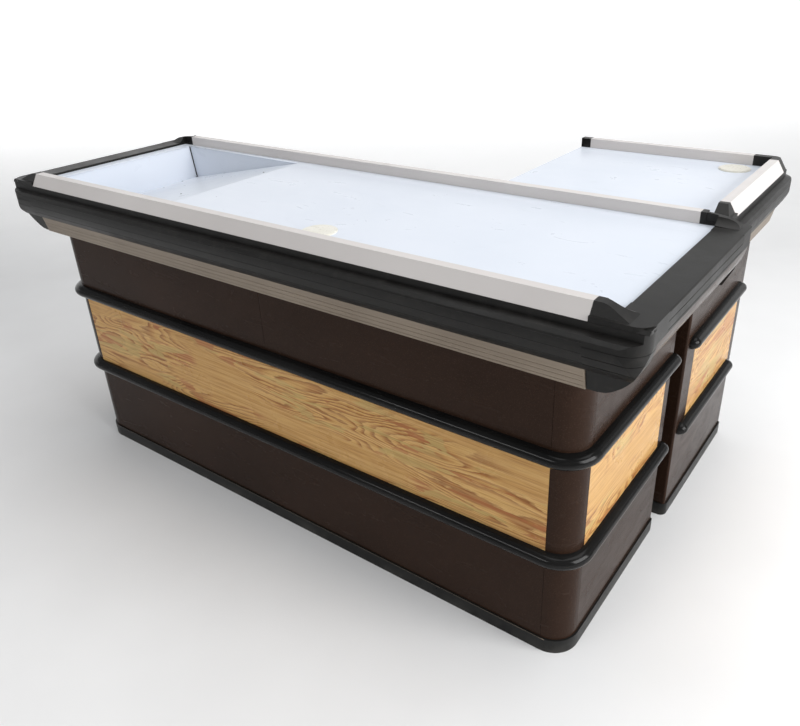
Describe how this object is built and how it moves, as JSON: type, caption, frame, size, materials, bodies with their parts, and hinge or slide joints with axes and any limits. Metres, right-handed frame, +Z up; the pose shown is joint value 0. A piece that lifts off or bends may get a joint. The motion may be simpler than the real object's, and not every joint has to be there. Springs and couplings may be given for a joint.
{
  "type": "checkout counter",
  "caption": "L-shaped retail checkout counter with a sunken bagging ramp, raised rim rails, rubber bumpers, cashier shelves, a cash drawer and a side cabinet with a door.",
  "frame": {"origin": "middle of the whole counter's footprint, on the floor", "axes": "+X along the customer's side towards the side cabinet, +Y towards the cashier, +Z up"},
  "size_m": [1.844, 1.1806, 0.845],
  "materials": {
    "coffee_steel": "glossy coffee-brown powder coat",
    "woodgrain_steel": "printed yellow-tan wood grain, satin",
    "white_steel": "white satin powder coat",
    "white_profile": "white satin coated aluminium channel",
    "black_plastic": "black moulded plastic with fine ribs",
    "black_rubber": "glossy black bumper",
    "trim_metal": "champagne satin with fine lines",
    "frame_steel": "black powder coat",
    "plinth_black": "black powder coat",
    "bright_steel": "zinc plated and brushed",
    "cream_plastic": "cream moulded plastic",
    "drawer_plastic": "dark grey moulded plastic"
  },
  "bodies": {
    "counter": {"main_frame": "frame_steel", "main_plinth": "plinth_black", "corner_posts": "coffee_steel", "rear_posts": "coffee_steel", "front_panel_lower": "coffee_steel", "front_panel_wood": "woodgrain_steel", "front_panels_upper": "coffee_steel", "end_panel_left_lower": "coffee_steel", "end_panel_left_wood": "woodgrain_steel", "end_panel_left_upper": "coffee_steel", "end_panel_right_lower": "coffee_steel", "end_panel_right_wood": "woodgrain_steel", "end_panel_right_upper": "coffee_steel", "bumper_strip_lower": "black_rubber", "bumper_strip_upper": "black_rubber", "main_worktop": "white_steel", "bagging_tray": "white_steel", "end_aprons": "coffee_steel", "end_strip_right": "black_plastic", "end_strip_left": "black_plastic", "front_edge_profile": "black_plastic", "front_rail": "white_profile", "front_trim_strip": "trim_metal", "back_rail": "white_profile", "back_fascia": "frame_steel", "corner_cap_front_right": "black_plastic", "corner_cap_front_left": "black_plastic", "corner_cap_back_right": "black_plastic", "corner_cap_back_left": "black_plastic", "shelves_and_dividers": "coffee_steel", "rear_panel": "coffee_steel", "drawer_slides_fixed": "bright_steel", "side_carcass": "coffee_steel", "side_plinth": "plinth_black", "side_panel_lower": "coffee_steel", "side_panel_wood": "woodgrain_steel", "side_panel_upper": "coffee_steel", "side_bumper_strips": "black_rubber", "side_worktop": "white_steel", "side_right_rail": "white_profile", "side_back_rail": "white_profile", "side_edge_profiles": "black_plastic", "side_trim_strips": "trim_metal", "side_corner_cap": "black_plastic", "side_end_caps": "black_plastic", "side_shelf": "coffee_steel", "side_door_hinges": "bright_steel", "grommet_liners": "cream_plastic"},
    "drawer": {"drawer_box": "frame_steel", "drawer_insert": "drawer_plastic", "drawer_front": "coffee_steel", "drawer_handle": "bright_steel", "drawer_slides_inner": "bright_steel"},
    "slide_middle": {"drawer_slides_middle": "bright_steel"},
    "drawer_lock": {"drawer_lock": "bright_steel"},
    "side_door": {"side_door": "coffee_steel", "side_door_handle": "bright_steel"},
    "side_door_lock": {"side_door_lock": "bright_steel"},
    "grommet_cap_main": {"grommet_cap_main": "cream_plastic"},
    "grommet_cap_side": {"grommet_cap_side": "cream_plastic"}
  },
  "joints": [
    {"name": "drawer_slide", "type": "slide", "parent": "counter", "child": "drawer", "axis": [0, 1, 0], "range_m": [0, 0.35]},
    {"name": "middle_member_slide", "type": "slide", "parent": "counter", "child": "slide_middle", "axis": [0, 1, 0], "range_m": [0, 0.175]},
    {"name": "drawer_lock_turn", "type": "hinge", "parent": "drawer", "child": "drawer_lock", "pos_m": [0.17, 0.0135, 0.766], "axis": [0, 1, 0], "range_deg": [0, 90]},
    {"name": "side_door_hinge", "type": "hinge", "parent": "counter", "child": "side_door", "pos_m": [0.315, 0.4755, 0.37], "axis": [0, 0, -1], "range_deg": [0, 105]},
    {"name": "side_door_lock_turn", "type": "hinge", "parent": "side_door", "child": "side_door_lock", "pos_m": [0.317, 0.0885, 0.4], "axis": [1, 0, 0], "range_deg": [0, 90]},
    {"name": "main_grommet_turn", "type": "hinge", "parent": "counter", "child": "grommet_cap_main", "pos_m": [0.15, -0.4645, 0.821], "axis": [0, 0, 1], "range_deg": [0, 180]},
    {"name": "side_grommet_turn", "type": "hinge", "parent": "counter", "child": "grommet_cap_side", "pos_m": [0.758, 0.4725, 0.821], "axis": [0, 0, 1], "range_deg": [0, 180]}
  ],
  "couplings": [
    {"joint": "middle_member_slide", "follows": "drawer_slide", "ratio": 0.5}
  ]
}
